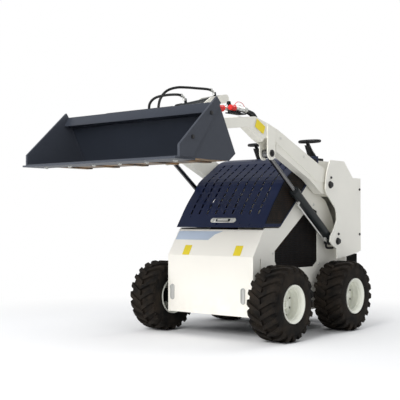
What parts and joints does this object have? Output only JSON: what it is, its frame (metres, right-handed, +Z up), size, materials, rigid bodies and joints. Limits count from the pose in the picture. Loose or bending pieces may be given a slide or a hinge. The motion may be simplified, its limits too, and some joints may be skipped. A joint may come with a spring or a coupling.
{
  "type": "mini skid steer loader",
  "caption": "Wheeled mini skid steer loader with raised lift arms, a level bucket and an operator's platform at the back.",
  "frame": {"origin": "on the floor under the middle of the machine, from cutting edge to platform", "axes": "+Z up, the machine faces -Y, +X to its left side"},
  "size_m": [1.17, 2.335, 1.5375],
  "materials": {
    "black_steel": "satin",
    "body_paint": "semi-gloss",
    "bucket_paint": "semi-gloss",
    "cast_metal": "rough",
    "cylinder_paint": "semi-gloss",
    "grip_plastic": "satin",
    "hood_paint": "gloss",
    "pin_steel": "satin",
    "rim_paint": "satin",
    "rod_steel": "polished",
    "tyre_rubber": "matte"
  },
  "bodies": {
    "chassis": {"front_panel": "body_paint", "belly_pan": "black_steel", "rear_cover": "body_paint", "engine_block": "cast_metal", "console": "black_steel", "side_frame_left": "body_paint", "side_frame_right": "body_paint", "side_screen_left": "black_steel", "side_screen_right": "black_steel", "tower_left": "body_paint", "tower_right": "body_paint", "arm_pivot_pin_left": "pin_steel", "arm_pivot_pin_right": "pin_steel", "lift_base_pin_left": "pin_steel", "lift_base_pin_right": "pin_steel", "lever_left": "grip_plastic", "lever_right": "grip_plastic", "wheel_motor_front_left": "black_steel", "wheel_motor_front_right": "black_steel", "wheel_motor_rear_left": "black_steel", "wheel_motor_rear_right": "black_steel"},
    "arms": {"arm_left": "body_paint", "arm_right": "body_paint", "hitch_beam": "body_paint", "tilt_beam": "body_paint"},
    "bucket": {"bucket_shell": "bucket_paint", "bucket_side_left": "bucket_paint", "bucket_side_right": "bucket_paint", "cutting_edge": "bucket_paint", "hitch_plate": "black_steel"},
    "hood": {"hood": "hood_paint"},
    "platform": {"platform_deck": "black_steel"},
    "tilt_barrel": {"tilt_barrel": "cylinder_paint"},
    "tilt_rod": {"tilt_rod": "rod_steel"},
    "lift_barrel_left": {"lift_barrel_left": "cylinder_paint"},
    "lift_rod_left": {"lift_rod_left": "rod_steel"},
    "wheel_front_left": {"tyre_front_left": "tyre_rubber", "rim_front_left": "rim_paint"},
    "wheel_rear_left": {"tyre_rear_left": "tyre_rubber", "rim_rear_left": "rim_paint"},
    "lift_barrel_right": {"lift_barrel_right": "cylinder_paint"},
    "lift_rod_right": {"lift_rod_right": "rod_steel"},
    "wheel_front_right": {"tyre_front_right": "tyre_rubber", "rim_front_right": "rim_paint"},
    "wheel_rear_right": {"tyre_rear_right": "tyre_rubber", "rim_rear_right": "rim_paint"}
  },
  "joints": [
    {"name": "wheel_front_left_spin", "type": "hinge", "parent": "chassis", "child": "wheel_front_left", "pos_m": [0.472, -0.0715, 0.2285], "axis": [1, 0, 0], "continuous": true},
    {"name": "wheel_front_right_spin", "type": "hinge", "parent": "chassis", "child": "wheel_front_right", "pos_m": [-0.472, -0.0715, 0.2285], "axis": [1, 0, 0], "continuous": true},
    {"name": "wheel_rear_left_spin", "type": "hinge", "parent": "chassis", "child": "wheel_rear_left", "pos_m": [0.472, 0.6585, 0.2285], "axis": [1, 0, 0], "continuous": true},
    {"name": "wheel_rear_right_spin", "type": "hinge", "parent": "chassis", "child": "wheel_rear_right", "pos_m": [-0.472, 0.6585, 0.2285], "axis": [1, 0, 0], "continuous": true},
    {"name": "arm_lift", "type": "hinge", "parent": "chassis", "child": "arms", "pos_m": [0, 0.5655, 0.959], "axis": [-1, 0, 0], "range_deg": [-52, 30]},
    {"name": "bucket_tilt", "type": "hinge", "parent": "arms", "child": "bucket", "pos_m": [0, -0.6415, 1.135], "axis": [1, 0, 0], "range_deg": [-52, 45]},
    {"name": "hood_hinge", "type": "hinge", "parent": "chassis", "child": "hood", "pos_m": [0, 0.5555, 1.145], "axis": [-1, 0, 0], "range_deg": [0, 50]},
    {"name": "platform_fold", "type": "hinge", "parent": "chassis", "child": "platform", "pos_m": [0, 0.9935, 0.1785], "axis": [1, 0, 0], "range_deg": [0, 85]},
    {"name": "lift_barrel_left_swing", "type": "hinge", "parent": "chassis", "child": "lift_barrel_left", "pos_m": [0.385, 0.6605, 0.585], "axis": [-1, 0, 0], "range_deg": [-38, 23]},
    {"name": "lift_rod_left_slide", "type": "slide", "parent": "lift_barrel_left", "child": "lift_rod_left", "axis": [0, -0.8102, 0.5861], "range_m": [-0.2553, 0.1481]},
    {"name": "lift_barrel_right_swing", "type": "hinge", "parent": "chassis", "child": "lift_barrel_right", "pos_m": [-0.385, 0.6605, 0.585], "axis": [-1, 0, 0], "range_deg": [-38, 23]},
    {"name": "lift_rod_right_slide", "type": "slide", "parent": "lift_barrel_right", "child": "lift_rod_right", "axis": [0, -0.8102, 0.5861], "range_m": [-0.2553, 0.1481]},
    {"name": "tilt_barrel_swing", "type": "hinge", "parent": "arms", "child": "tilt_barrel", "pos_m": [0, -0.0515, 1.496], "axis": [1, 0, 0], "range_deg": [-2, 2]},
    {"name": "tilt_rod_slide", "type": "slide", "parent": "tilt_barrel", "child": "tilt_rod", "axis": [0, -0.9704, -0.2415], "range_m": [-0.1881, 0.163]}
  ],
  "couplings": [
    {"joint": "lift_barrel_left_swing", "follows": "arm_lift", "ratio": 0.7041},
    {"joint": "lift_rod_left_slide", "follows": "arm_lift", "m_per_rad": 0.2791},
    {"joint": "lift_barrel_right_swing", "follows": "arm_lift", "ratio": 0.7041},
    {"joint": "lift_rod_right_slide", "follows": "arm_lift", "m_per_rad": 0.2791},
    {"joint": "tilt_barrel_swing", "follows": "bucket_tilt", "ratio": 0.03},
    {"joint": "tilt_rod_slide", "follows": "bucket_tilt", "m_per_rad": 0.205}
  ]
}
